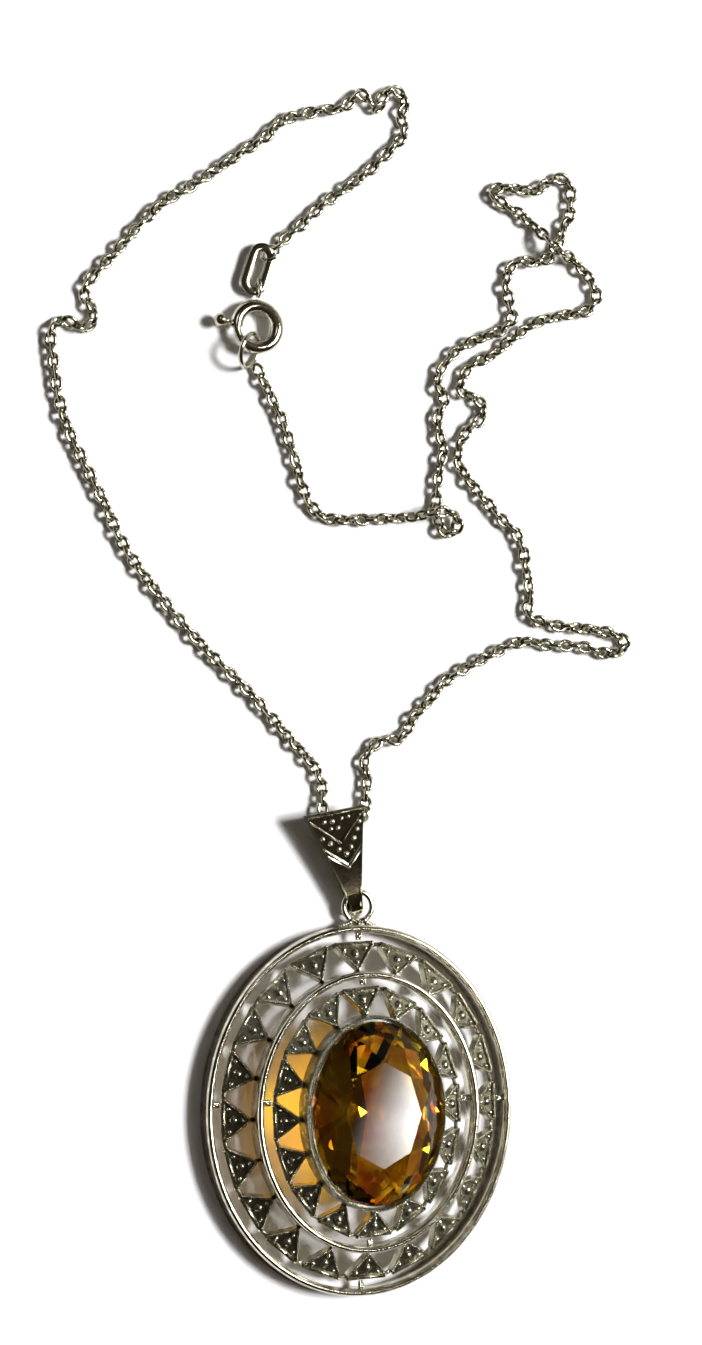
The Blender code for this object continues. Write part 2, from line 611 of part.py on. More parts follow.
bail_width = Matrix.Rotation(BAIL_LEAN, 3, "Z") @ Vector((1, 0, 0))
bail_pivot = pivot("bail_pivot", chain_axis, bail_width, [bail])
ring_wire = bail_frame @ Vector((0, 0, HANGING_RING_HEIGHT))
oval_pieces = [outer_rim, inner_rim, outer_gallery, inner_gallery, bezel, seat, stone, hanging_ring]
ring_tangent = Matrix.Rotation(BAIL_SLIP, 3, "Z") @ Vector((1, 0, 0))
pivot("pendant_pivot", ring_wire, ring_tangent, oval_pieces + struts, bail_pivot)
to_chain = Vector((math.cos(END_RING_TURN), math.sin(END_RING_TURN), 0))
end_ring_pivot = pivot("end_ring_pivot", END_RING_CENTRE + to_chain * END_RING_RADIUS,
                       Vector((1, 0, 0)), [end_ring])
tag_pivot = pivot("tag_pivot", END_RING_CENTRE, Vector((1, 0, 0)), [end_tag], end_ring_pivot)
eye_place = bolt_frame @ EYE_CENTRE
bolt_ring_pivot = pivot("bolt_ring_pivot", eye_place, Vector((1, 0, 0)), [case, spring, eye],
                        tag_pivot)
bolt_axis = bolt_frame.to_3x3() @ Vector((0, 0, 1))
pivot("bolt_pivot", BOLT_RING_CENTRE, bolt_axis, [bolt, trigger_piece], bolt_ring_pivot)
tube_place = bolt_frame @ (jump_out * BOLT_RING_RADIUS)
tube_along = bolt_frame.to_3x3() @ Vector((-jump_out.y, jump_out.x, 0))
pivot("jump_ring_pivot", tube_place, tube_along, [jump_ring], bolt_ring_pivot)
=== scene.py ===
# %% [markdown]
# # A pendant necklace
# A necklace is built here round its packed engineering model: an oval openwork pendant, a bail, a
# chain and a clasp. The imported model gives every size and place, so it is loaded first. The finished
# necklace has to fill the same space. All the modelling below is done in millimetres, which suit a
# jeweller, and each mesh is scaled to metres when it is finished.

# %% Load the imported necklace
import math

import bmesh
import bpy
from mathutils import Matrix, Vector


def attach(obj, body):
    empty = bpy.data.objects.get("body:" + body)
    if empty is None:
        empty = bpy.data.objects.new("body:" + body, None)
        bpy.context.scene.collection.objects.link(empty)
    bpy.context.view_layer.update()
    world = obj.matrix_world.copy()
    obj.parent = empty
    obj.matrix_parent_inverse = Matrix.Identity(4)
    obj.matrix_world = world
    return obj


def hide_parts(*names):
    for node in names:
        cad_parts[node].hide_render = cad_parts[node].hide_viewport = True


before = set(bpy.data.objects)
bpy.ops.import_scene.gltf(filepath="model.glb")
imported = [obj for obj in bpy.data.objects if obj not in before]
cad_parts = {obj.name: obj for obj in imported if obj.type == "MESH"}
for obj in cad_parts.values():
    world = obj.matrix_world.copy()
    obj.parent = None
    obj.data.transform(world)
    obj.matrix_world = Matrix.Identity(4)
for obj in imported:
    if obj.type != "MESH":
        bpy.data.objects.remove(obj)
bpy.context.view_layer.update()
MM = 0.001

# %% [markdown]
# ## Camera, table and light
# Small bright things are shown on a white table, from nearly above. The camera is a long lens half a
# metre away, so the ovals stay true. Silver has no colour of its own: it shows what is round it. A
# room that is warm and dark, with one bright window on the right and a weak lamp behind, gives
# polished edges their bright lines and brown-black depths. The table itself has to stay white.

# %% Camera
CAMERA_LENS = 122.78
CAMERA_PLACE = (-0.171079, 0.031973, 0.469846)  # in metres
camera_data = bpy.data.cameras.new("camera")
camera_data.lens = CAMERA_LENS
camera_data.clip_start = 0.01
camera_data.clip_end = 20
camera = bpy.data.objects.new("camera", camera_data)
right, up, back = ((0.93984, 0, 0.34161), (-0.00611, 0.99984, 0.01682), (-0.34155, -0.0179, 0.93969))
turn = Matrix((right, up, back)).transposed().to_4x4()
camera.matrix_world = Matrix.Translation(CAMERA_PLACE) @ turn
bpy.context.collection.objects.link(camera)
bpy.context.scene.camera = camera
bpy.context.scene.view_settings.view_transform = "Standard"
print("camera tilt from above:", round(math.degrees(math.acos(back[2])), 1), "degrees")


# %% [markdown]
# Shader maths reads best as plain sums, so a small class wraps a node's output and lets Python's
# operators add the Math nodes. Every other node comes from one method.

# %% A small language for materials
class Nodes:
    """The node tree of one material or world."""

    def __init__(self, tree):
        self.tree = tree

    def add(self, kind, settings=None, stops=None, **sockets):
        node = self.tree.nodes.new(kind)
        for name, value in (settings or {}).items():
            setattr(node, name, value)
        if stops:
            ramp = node.color_ramp
            while len(ramp.elements) < len(stops):
                ramp.elements.new(0.5)
            for element, (place, colour) in zip(ramp.elements, stops):
                element.position = place
                element.color = colour
        for name, value in sockets.items():
            socket = node.inputs[int(name[1:])] if name[0] == "i" and name[1:].isdigit() else None
            socket = socket or node.inputs[name.replace("_", " ")]
            if isinstance(value, Value):
                self.tree.links.new(value.socket, socket)
            else:
                socket.default_value = value
        return node

    def out(self, node, name=0):
        return Value(self, node.outputs[name])


class Value:
    """One output of a node; sums with it make Math nodes."""

    def __init__(self, nodes, socket):
        self.nodes = nodes
        self.socket = socket

    def math(self, operation, *others, clamp=False):
        sockets = {"i" + str(number + 1): other for number, other in enumerate(others)}
        settings = {"operation": operation, "use_clamp": clamp}
        return self.nodes.out(self.nodes.add("ShaderNodeMath", settings, i0=self, **sockets))

    def __add__(self, other):
        return self.math("ADD", other)

    def __mul__(self, other):
        return self.math("MULTIPLY", other)

    def __sub__(self, other):
        return self.math("SUBTRACT", other)

    def __rsub__(self, other):
        return self.math("MULTIPLY", -1.0).math("ADD", other)

    def clamped(self):
        return self.math("MAXIMUM", 0.0, clamp=True)

    __radd__ = __add__
    __rmul__ = __mul__


def mixed(nodes, share, low, high):
    """A colour between two others; a share of 0 gives the first."""
    node = nodes.add("ShaderNodeMix", {"data_type": "RGBA"}, i0=share, i6=low, i7=high)
    return nodes.out(node, 2)


print("materials can be written as sums")


# %% White table
def new_material(name, **constants):
    """A material with its Principled shader's constant values."""
    material = bpy.data.materials.new(name)
    material.use_nodes = True
    shader = material.node_tree.nodes["Principled BSDF"]
    for socket, value in constants.items():
        shader.inputs[socket.replace("_", " ")].default_value = value
    return material, Nodes(material.node_tree), shader


def feed(nodes, value, shader, socket):
    nodes.tree.links.new(value.socket, shader.inputs[socket])


TABLE_HALF = 1.6  # of its side, in metres
TABLE_LEVEL = -0.00003  # a hair below what lies on it
table_white, _, table_shader = new_material("table_white", Roughness=0.9)
table_shader.inputs["Base Color"].default_value = (0.93, 0.93, 0.93, 1)
table_shader.inputs["Specular IOR Level"].default_value = 0.1
table_bm = bmesh.new()
bmesh.ops.create_grid(table_bm, x_segments=1, y_segments=1, size=TABLE_HALF)
table_mesh = bpy.data.meshes.new("table")
table_bm.to_mesh(table_mesh)
table_bm.free()
table_mesh.materials.append(table_white)
table = bpy.data.objects.new("table", table_mesh)
table.location.z = TABLE_LEVEL
bpy.context.collection.objects.link(table)
print("table side:", 2 * TABLE_HALF, "m")


# %% Lights and room
def soft_light(name, place, aim, size, power):
    """A square soft light that looks at a point of the table; places are in millimetres."""
    data = bpy.data.lights.new(name, "AREA")
    data.shape = "RECTANGLE"
    data.size, data.size_y = size[0] * MM, size[1] * MM
    data.energy = power
    light = bpy.data.objects.new(name, data)
    light.location = Vector(place) * MM
    facing = (Vector(aim) - Vector(place)).to_track_quat("-Z", "Y")
    light.rotation_euler = facing.to_euler()
    bpy.context.collection.objects.link(light)
    return light


soft_light("fill", (-160, 300, 420), (0, 40, 0), (150, 120), 0.08)
world = bpy.data.worlds.new("room")
world.use_nodes = True
bpy.context.scene.world = world
room = Nodes(world.node_tree)
towards = room.add("ShaderNodeTexCoord")
parts = room.add("ShaderNodeSeparateXYZ", Vector=room.out(towards, "Generated"))
height = room.out(parts, "Z")
room_colours = [
    (0.0, (0.30, 0.28, 0.25, 1)), (0.5, (0.14, 0.125, 0.10, 1)), (0.62, (0.022, 0.017, 0.011, 1)),
    (0.86, (0.030, 0.024, 0.015, 1)), (1.0, (0.075, 0.065, 0.048, 1)),
]
room_ramp = room.add("ShaderNodeValToRGB", stops=room_colours, Fac=height * 0.5 + 0.5)
sideways = room.out(parts, "X") * 0.85 + room.out(parts, "Y") * 0.4
pale_wall = ((sideways - 0.45) * 2.6).clamped() * ((0.72 - height) * 4.0).clamped()
lit_room = mixed(room, pale_wall, room.out(room_ramp), (0.42, 0.39, 0.28, 1))
seen = room.add("ShaderNodeLightPath")
by_eye = mixed(room, room.out(seen, "Is Camera Ray"), lit_room, (0.93, 0.93, 0.93, 1))
indoors = mixed(room, room.out(seen, "Is Diffuse Ray"), by_eye, (0.030, 0.021, 0.014, 1))
steep = height.math("MAXIMUM", 0.05)
east = room.out(parts, "X").math("DIVIDE", steep)
north = room.out(parts, "Y").math("DIVIDE", steep)
rows = ((north + 0.108) * 45.0).clamped() * ((0.36 - north) * 15.0).clamped()
frame_strip = ((east - north * 0.4 - 0.398) * 60.0).clamped() * ((0.45 - east) * 40.0).clamped()
main_pane = ((east - 0.55) * 20.0).clamped() * ((1.02 - east) * 10.0).clamped()
window_light = (frame_strip * 32.0 + main_pane * 60.0) * rows
pane = ((frame_strip + main_pane) * rows).clamped()
with_window = room.add("ShaderNodeMix", {"data_type": "RGBA"}, i0=pane, i6=indoors, i7=(1, 1, 1, 1))
surroundings = world.node_tree.nodes["Background"]
room.tree.links.new(with_window.outputs[2], surroundings.inputs["Color"])
room.tree.links.new((window_light + 1.0).socket, surroundings.inputs["Strength"])
print("room is lit")

# %% [markdown]
# ## The chain
# It is a fine belcher chain: oval wire links, each turned a quarter from its neighbour. It lies
# where it was dropped, in two loose strands with a few crossings. The route is a list of points,
# with a smooth curve through them. Walking along the curve by one pitch at a time gives each link's
# middle and heading. A frame that is carried along without twisting says which way is up, and a slow
# wander of the twist keeps the links from looking like a machine's.

# %% Route of the chain
RING_CENTRE = Vector((0, 15.49, 1.3))  # of the ring on top of the pendant
RING_RADIUS = 1.62
BAIL_LEAN = math.radians(15.5)
BAIL_SLIP = math.radians(29)  # of its hook round the ring
hook = Matrix.Rotation(BAIL_SLIP, 3, "Z") @ Vector((0, RING_RADIUS, 0))
BAIL_FRAME = (Matrix.Translation((hook.x + RING_CENTRE.x, hook.y + RING_CENTRE.y, 0))
              @ Matrix.Rotation(BAIL_LEAN, 4, "Z"))
CHAIN_AXIS = BAIL_FRAME @ Vector((0, 7.2, 1.45))
LYING = 0.75
left_strand = [
    (-9.28, 86.97, 1.0), (-8.6, 87.6, 0.8), (-6.5, 89.3), (-4.2, 91.5), (-1.3, 93.6), (1.5, 95.7),
    (3.4, 97.5), (5.0, 99.1),
    (5.7, 100.5), (5.2, 101.8), (5.7, 103.2), (4.6, 104.7), (3.2, 104.0), (2.5, 102.6),
    (1.5, 103.5), (0.2, 104.1), (-0.8, 103.0), (-2.0, 102.3), (-3.9, 102.1), (-6.1, 101.5),
    (-8.5, 100.7), (-10.5, 98.8), (-12.7, 97.4), (-15.6, 95.4), (-19.0, 93.1), (-22.4, 91.0),
    (-25.8, 87.5), (-28.0, 85.1), (-30.3, 82.6), (-30.8, 81.0), (-30.0, 79.6), (-30.1, 78.0),
    (-31.4, 77.6), (-32.8, 78.2), (-34.1, 77.8), (-34.6, 76.3), (-34.3, 74.2), (-33.9, 71.3),
    (-33.0, 67.6), (-31.3, 63.9), (-28.5, 58.6), (-26.2, 54.0), (-21.8, 48.3), (-17.3, 43.4),
    (-12.2, 38.6), (-7.6, 33.7), (-5.1, 31.0), (-4.1, 29.3), (-3.9, 27.9),
]
bail_pass = [
    (-0.5, 2.8, -0.5), (-0.85, 1.6, -0.3), (-0.65, 0.6, -0.1), (0.05, 0.05, 0), (1.45, -0.2, 0),
    (2.6, -0.05, 0), (3.55, 0.35, -0.1), (4.1, 1.1, -0.35), (4.5, 2.1, -0.6),
]
right_strand = [
    (1.3, 29.2), (1.0, 31.0), (1.7, 32.6), (3.3, 33.6), (5.0, 33.6), (6.0, 34.8),
    (6.9, 36.3), (8.4, 37.8), (10.3, 39.9), (13.1, 41.6), (16.3, 43.2), (19.0, 44.3), (20.9, 44.4),
    (22.6, 44.1), (25.0, 44.0), (27.4, 43.8), (29.6, 43.2), (31.4, 43.5), (31.7, 44.6),
    (30.3, 45.4), (28.4, 45.8), (26.2, 46.0), (23.8, 46.2), (22.2, 46.6), (20.9, 46.9),
    (20.2, 47.9), (20.5, 49.5), (20.1, 51.8), (19.7, 54.3), (18.8, 56.4), (17.0, 58.0),
    (15.0, 60.1), (13.0, 62.4), (11.9, 64.3), (12.2, 66.1), (13.1, 67.7), (14.5, 68.8),
    (14.8, 70.4), (13.8, 71.2), (12.4, 71.9), (12.4, 73.3), (13.8, 74.9), (15.8, 75.9),
    (18.2, 77.7), (21.2, 79.7), (24.3, 80.6), (27.2, 81.2), (28.4, 82.6), (28.0, 84.2),
    (26.5, 86.0), (24.8, 87.1, 1.4), (22.9, 87.9, 2.3), (21.9, 89.2, 1.6), (21.0, 90.3),
    (19.1, 91.8), (17.2, 92.8), (16.0, 93.7), (16.9, 94.5), (19.3, 94.4), (21.2, 94.3),
    (22.4, 95.2), (24.0, 95.8), (25.2, 95.2), (25.4, 93.5), (25.2, 91.7), (24.3, 90.0),
    (24.0, 88.7), (23.0, 87.2), (21.4, 86.4), (19.6, 86.5), (18.2, 85.7), (17.6, 84.0),
    (18.0, 82.0), (18.4, 80.4), (17.3, 78.9), (15.1, 78.0), (12.4, 76.8), (10.6, 75.1),
    (9.5, 73.1), (10.1, 71.5), (10.3, 70.3), (9.6, 69.1), (9.7, 67.4), (10.2, 65.4), (9.7, 63.2),
    (9.5, 61.0), (9.3, 59.2), (9.6, 57.6), (10.3, 56.3), (11.5, 56.4), (11.7, 57.6, 1.2),
    (10.5, 58.4, 2.2), (8.8, 58.5, 2.4), (7.6, 58.2, 1.6), (6.1, 57.9), (2.8, 57.7), (-0.7, 57.5),
    (-3.2, 57.7), (-4.9, 58.7), (-6.1, 60.8), (-7.2, 64.5), (-8.5, 68.1), (-10.1, 71.3),
    (-11.1, 73.2), (-11.62, 74.2),
]


def route_points():
    """The route's own points, from the end ring through the bail to the clasp's jump ring."""
    points = [Vector((x, y, *(height or [LYING]))) for x, y, *height in left_strand]
    turn = Matrix.Rotation(BAIL_LEAN, 3, "Z")
    points += [CHAIN_AXIS + turn @ Vector(step) for step in bail_pass]
    points += [Vector((x, y, *(height or [LYING]))) for x, y, *height in right_strand]
    return points


def smooth_curve(points, steps=24):
    """A curve that passes through the points (Catmull-Rom), as closely spaced points."""
    fine = []
    for i in range(len(points) - 1):
        before, start = points[max(i - 1, 0)], points[i]
        end, after = points[i + 1], points[min(i + 2, len(points) - 1)]
        for step in range(steps):
            t = step / steps
            fine.append(0.5 * (2 * start + (end - before) * t
                               + (2 * before - 5 * start + 4 * end - after) * t ** 2
                               + (3 * start - before - 3 * end + after) * t ** 3))
    fine.append(points[-1])
    return fine


class Path:
    """A curve that can be asked for the place at a length along it."""

    def __init__(self, points):
        self.points = points
        self.lengths = [0.0]
        for start, end in zip(points, points[1:]):
            self.lengths.append(self.lengths[-1] + (end - start).length)
        self.length = self.lengths[-1]

    def at(self, length):
        length = min(max(length, 0.0), self.length)
        low, high = 0, len(self.lengths) - 1
        while high - low > 1:
            middle = (low + high) // 2
            low, high = (middle, high) if self.lengths[middle] <= length else (low, middle)
        share = (length - self.lengths[low]) / max(self.lengths[high] - self.lengths[low], 1e-9)
        return self.points[low].lerp(self.points[high], share)


chain_path = Path(smooth_curve(route_points()))
print("chain length:", round(chain_path.length, 1), "mm")


# %% One link, and the whole chain
def finish_piece(name, bm, materials, body, replaced=(), smooth_under=40):
    """Turns a mesh in millimetres into a finished object that rides on a body."""
    bmesh.ops.scale(bm, vec=(MM, MM, MM), verts=bm.verts)
    mesh = bpy.data.meshes.new(name)
    bm.to_mesh(mesh)
    bm.free()
    for material in materials:
        mesh.materials.append(material)
    mesh.shade_smooth()
    mesh.set_sharp_from_angle(angle=math.radians(smooth_under))
    piece = bpy.data.objects.new(name, mesh)
    bpy.context.collection.objects.link(piece)
    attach(piece, body)
    if replaced:
        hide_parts(*replaced)
    print(name, "faces:", len(mesh.polygons))
    return piece


def sweep_ring(bm, profile, shape, segments):
    """Spins a closed profile of (out, up) points into a ring, and lays the ring along a shape."""
    far = 500
    fresh = [bm.verts.new((far + out, 0, up)) for out, up in profile]
    edges = [bm.edges.new(pair) for pair in zip(fresh, fresh[1:] + fresh[:1])]
    bmesh.ops.spin(bm, geom=fresh + edges, cent=(0, 0, 0), axis=(0, 0, 1), dvec=(0, 0, 0),
                   angle=2 * math.pi, steps=segments, use_merge=True, use_duplicate=False)
    ring = [vert for vert in bm.verts if vert.co.xy.length > far / 2]
    for vert in ring:
        out = vert.co.xy.length - far
        place, outwards = shape(math.atan2(vert.co.y, vert.co.x) / (2 * math.pi))
        vert.co = place + outwards * out + Vector((0, 0, vert.co.z))
    faces = list({face for vert in ring for face in vert.link_faces})
    bmesh.ops.recalc_face_normals(bm, faces=faces)
    return ring


def round_profile(wire, sides, flat=1.0):
    """The round section of a wire; flat squeezes or stretches its height."""
    turns = [2 * math.pi * number / sides for number in range(sides)]
    return [(wire * math.cos(t), wire * math.sin(t) * flat) for t in turns]


def oval_shape(half_x, half_y):
    """A function for sweep_ring: an oval, and its outward direction."""
    def shape(turn):
        t = 2 * math.pi * turn
        outwards = Vector((math.cos(t) / half_x, math.sin(t) / half_y, 0)).normalized()
        return Vector((half_x * math.cos(t), half_y * math.sin(t), 0)), outwards
    return shape


LINK_LENGTH = 2.04
LINK_WIDTH = 1.5
LINK_WIRE = 0.225
LINK_PITCH = LINK_LENGTH - 4 * LINK_WIRE + 0.02
link_bm = bmesh.new()
sweep_ring(link_bm, round_profile(LINK_WIRE, 6, 1.1),
           oval_shape(LINK_LENGTH / 2 - LINK_WIRE, LINK_WIDTH / 2 - LINK_WIRE), 14)
link_mesh = bpy.data.meshes.new("one_link")
link_bm.to_mesh(link_mesh)
link_bm.free()

chain_bm = bmesh.new()
link_count = int((chain_path.length - 0.1) / LINK_PITCH)
spacing = (chain_path.length - 0.1) / link_count
side = Vector((0, 0, 1))
for number in range(link_count):
    length = 0.42 + number * spacing
    middle = chain_path.at(length)
    heading = (chain_path.at(length + 0.45) - chain_path.at(length - 0.45)).normalized()
    side = (side - heading * side.dot(heading)).normalized()
    across = heading.cross(side)
    wander = 0.75 * math.sin(number * 0.37) + 0.45 * math.sin(number * 0.113 + 1.3)
    twist = Matrix.Rotation(wander + (math.pi / 2 if number % 2 else 0) + math.pi / 4, 4, "X")
    stand = Matrix((heading, across, side)).transposed().to_4x4()
    before = len(chain_bm.verts)
    chain_bm.from_mesh(link_mesh)
    chain_bm.verts.ensure_lookup_table()
    place = Matrix.Translation(middle) @ stand @ twist
    bmesh.ops.transform(chain_bm, matrix=place, verts=chain_bm.verts[before:])
bpy.data.meshes.remove(link_mesh)
print("links:", link_count, "pitch:", round(spacing, 3), "mm")

# %% [markdown]
# ## Silver
# All the metal is old silver. On the rims, rings and clasp it is polished, with faint scratches and
# a trace of tarnish. On the plaques and the chain it is duller and greener. The plaques' recesses, the
# bail's front and hollows, the bezel and the tag get darker silver as painted shade, and the left arms of
# the bail's ridges a brighter one as painted highlight. Tarnish is a soft noise that lowers the colour and
# raises the roughness. A fine noise through a Bump node gives the wear of years in a pocket.


# %% Silver finishes
def silver(name, bright, dull, rough, rough_dull, scale=900.0, bump=0.00002):
    material, nodes, shader = new_material(name, Metallic=1.0)
    where = nodes.out(nodes.add("ShaderNodeTexCoord"), "Object")
    cloud = nodes.add("ShaderNodeTexNoise", Vector=where, Scale=scale, Detail=3.0, Roughness=0.6)
    share = ((nodes.out(cloud, "Fac") - 0.42) * 4.0).clamped()
    fine = nodes.add("ShaderNodeTexNoise", Vector=where, Scale=scale * 7.0, Detail=2.0)
    feed(nodes, mixed(nodes, share, (*dull, 1), (*bright, 1)), shader, "Base Color")
    feed(nodes, share * (rough - rough_dull) + rough_dull, shader, "Roughness")
    relief = nodes.out(fine, "Fac") * 0.4 + nodes.out(cloud, "Fac")
    bumped = nodes.add("ShaderNodeBump", Strength=0.6, Distance=bump, Height=relief)
    feed(nodes, nodes.out(bumped), shader, "Normal")
    return material


polished_silver = silver("polished_silver", (0.80, 0.78, 0.69), (0.48, 0.44, 0.34), 0.06, 0.14)
satin_silver = silver("satin_silver", (0.68, 0.66, 0.53), (0.36, 0.34, 0.25), 0.12, 0.24, 1500.0, 0.00004)
# Painted shade: this darker silver fills the plaques' recesses and the bars under them.
recess_shade_silver = silver("recess_shade_silver", (0.46, 0.44, 0.34), (0.20, 0.19, 0.14), 0.2, 0.36, 1500.0, 0.00006)
chain_silver = silver("chain_silver", (0.70, 0.68, 0.56), (0.30, 0.275, 0.19), 0.1, 0.22, 1300.0, 0.00003)
# Painted shade: this near-black brown fills the bail's recessed front.
bail_hollow_shade_silver = silver("bail_hollow_shade_silver", (0.26, 0.23, 0.16), (0.09, 0.07, 0.045), 0.05, 0.1, 700.0, 0.000006)
# Painted shade: this dark olive silver covers the bail's front border, the right arms of its ridges and the
# tag.
shaded_olive_silver = silver("shaded_olive_silver", (0.34, 0.33, 0.23), (0.20, 0.19, 0.13), 0.05, 0.12, 700.0, 0.000008)
print("silver finishes are ready")

# %% Chain piece
chain = finish_piece("belcher_chain", chain_bm, [chain_silver], "chain", ["chain"], 80)

# %% [markdown]
# ## Two rims
# The pendant is a stepped dome of ovals. Each rim is a strip of silver on its edge, with a rounded
# top that catches one bright line. A profile is spun into a ring, and each point of the ring is then
# laid at the same distance from an oval, so that the wall is equally thick all the way round. The
# same helper makes the bezel and every wire ring.

# %% Ovals of the pendant
OVAL_CENTRE = Vector((0, -6.6, 0))


def oval_point(sizes, clockwise, height=0.0):
    """A point of an oval, at an angle in radians from its top."""
    x, y = sizes[0] * math.sin(clockwise), sizes[1] * math.cos(clockwise)
    return OVAL_CENTRE + Vector((x, y, height))


def even_angles(sizes, turns):
    """The angles that divide an oval's length evenly, for each number of turns."""
    steps = 4000
    lengths = [0.0]
    for step in range(steps):
        middle = 2 * math.pi * (step + 0.5) / steps
        lengths.append(lengths[-1] + math.hypot(sizes[0] * math.cos(middle), sizes[1] * math.sin(middle)))
    angles = []
    step = 0
    for turn in turns:
        whole = math.floor(turn)
        goal = (turn - whole) * lengths[-1]
        step = 0 if lengths[step] > goal else step
        while lengths[step + 1] < goal:
            step += 1
        angles.append(2 * math.pi * (whole + step / steps))
    return angles


def oval_wall(name, sizes, profile, segments, material, replaced):
    """A wall round the pendant's centre; the profile is measured outwards from the oval and up."""
    bm = bmesh.new()
    sweep_ring(bm, profile, oval_shape(*sizes), segments)
    bmesh.ops.translate(bm, verts=bm.verts, vec=OVAL_CENTRE)
    return finish_piece(name, bm, [material], "pendant", replaced, 50)


outer_profile = [
    (0, 0.05), (0, 1.9), (-0.02, 2.25), (-0.12, 2.46), (-0.28, 2.58), (-0.42, 2.6), (-0.56, 2.55),
    (-0.72, 2.38), (-0.82, 2.12), (-0.85, 1.8), (-0.85, 0.05), (-0.8, 0.0), (-0.05, 0.0),
]
oval_wall("outer_rim_wall", (17.6, 20.1), outer_profile, 200, polished_silver, ["outer_rim"])
inner_profile = [
    (0, 2.84), (0, 4.7), (-0.03, 5.02), (-0.12, 5.2), (-0.26, 5.29), (-0.4, 5.3), (-0.54, 5.25),
    (-0.68, 5.1), (-0.78, 4.85), (-0.8, 4.6), (-0.8, 2.84), (-0.76, 2.8), (-0.04, 2.8),
]
oval_wall("inner_rim_wall", (12.75, 15.2), inner_profile, 180, polished_silver, ["inner_rim"])

# %% [markdown]
# ## Plaques
# Each gallery is a ring of small triangular plaques. One plaque is a triangle with blunt corners and
# a raised border, and a recess inside whose floor and walls are painted dark as shade. A domed seed of
# silver fills the middle of the recess, with three bright beads round it. The two slanted borders are
# milled into tiny grains, and a plain bar runs along the base. One plaque is modelled flat, and copies of
# it are leaned against the dome.


# %% One plaque
def add_bead(bm, place, radius, squash=1.0, across=8, up=6, material=0):
    before = len(bm.faces)
    matrix = Matrix.Translation(place) @ Matrix.Diagonal((1, 1, squash, 1))
    bmesh.ops.create_uvsphere(bm, u_segments=across, v_segments=up, radius=radius, matrix=matrix)
    bm.faces.ensure_lookup_table()
    for face in bm.faces[before:]:
        face.material_index = material


def add_bar(bm, place, size, bevel=0.06, material=0, turned=0.0):
    """A small bar with rounded edges."""
    before_faces, before_verts = set(bm.faces), set(bm.verts)
    matrix = (Matrix.Translation(place) @ Matrix.Rotation(turned, 4, "Z")
              @ Matrix.Diagonal((*size, 1)))
    bmesh.ops.create_cube(bm, size=1, matrix=matrix)
    edges = [edge for edge in bm.edges if edge.verts[0] not in before_verts]
    bmesh.ops.bevel(bm, geom=edges, offset=bevel, affect="EDGES", segments=1, profile=0.5,
                    material=-1)
    for face in set(bm.faces) - before_faces:
        face.material_index = material


def plaque_mesh(width, height, pitch):
    """A plaque that lies flat: its base along X, its tip towards +Y, its face up."""
    bm = bmesh.new()
    half, shoulder = width / 2, height * 0.15
    corners = [(-half, 0), (half, 0), (half, shoulder), (0.16, height), (-0.16, height), (-half, shoulder)]
    bm.faces.new([bm.verts.new((*corner, 0)) for corner in corners])
    bmesh.ops.bevel(bm, geom=bm.verts[:], offset=0.1, affect="VERTICES", segments=1, profile=0.5,
                    material=-1)
    top = bm.faces[:]
    sides = bmesh.ops.extrude_face_region(bm, geom=top, use_keep_orig=True)
    lower = [item for item in sides["geom"] if isinstance(item, bmesh.types.BMVert)]
    bmesh.ops.translate(bm, verts=lower, vec=(0, 0, -0.8))
    bmesh.ops.recalc_face_normals(bm, faces=bm.faces)
    face = max(bm.faces, key=lambda item: item.calc_center_median().z)
    bmesh.ops.inset_region(bm, faces=[face], thickness=0.05, depth=0.04, use_even_offset=True)
    bmesh.ops.inset_region(bm, faces=[face], thickness=0.2, depth=0, use_even_offset=True)
    bmesh.ops.inset_region(bm, faces=[face], thickness=0.06, depth=-0.2, use_even_offset=True)
    # The recess floor and its walls take the darker silver: painted shade in the recess.
    face.material_index = 1
    for edge in face.edges:
        for wall in edge.link_faces:
            wall.material_index = 1
    add_bar(bm, (0, 0.22, 0.0), (width * 0.88, 0.36, 0.24), material=0)
    seed = (0, height * 0.4, -0.16)
    add_bead(bm, seed, 0.5, 0.7, 12, 8, 3)
    for place in ((-width * 0.27, height * 0.27, -0.08), (width * 0.27, height * 0.27, -0.08),
                  (0, height * 0.74, -0.08)):
        add_bead(bm, place, 0.25, 1.0, 10, 8, 2)
    for side in (-1, 1):
        start = Vector((side * (half - 0.16), shoulder + 0.02, 0.03))
        end = Vector((side * 0.16, height - 0.2, 0.03))
        count = round((end - start).length / 0.25)
        for number in range(count + 1):
            add_bead(bm, start.lerp(end, number / count), 0.11, 1.0, 6, 4, 0)
    # The low bar towards the next plaque is in the darker silver too: painted shade under the plaques.
    add_bar(bm, (-pitch / 2, 0.3, -0.5), (pitch - width + 0.5, 0.42, 0.36), 0.08, 1)
    mesh = bpy.data.meshes.new("one_plaque")
    bm.to_mesh(mesh)
    bm.free()
    return mesh


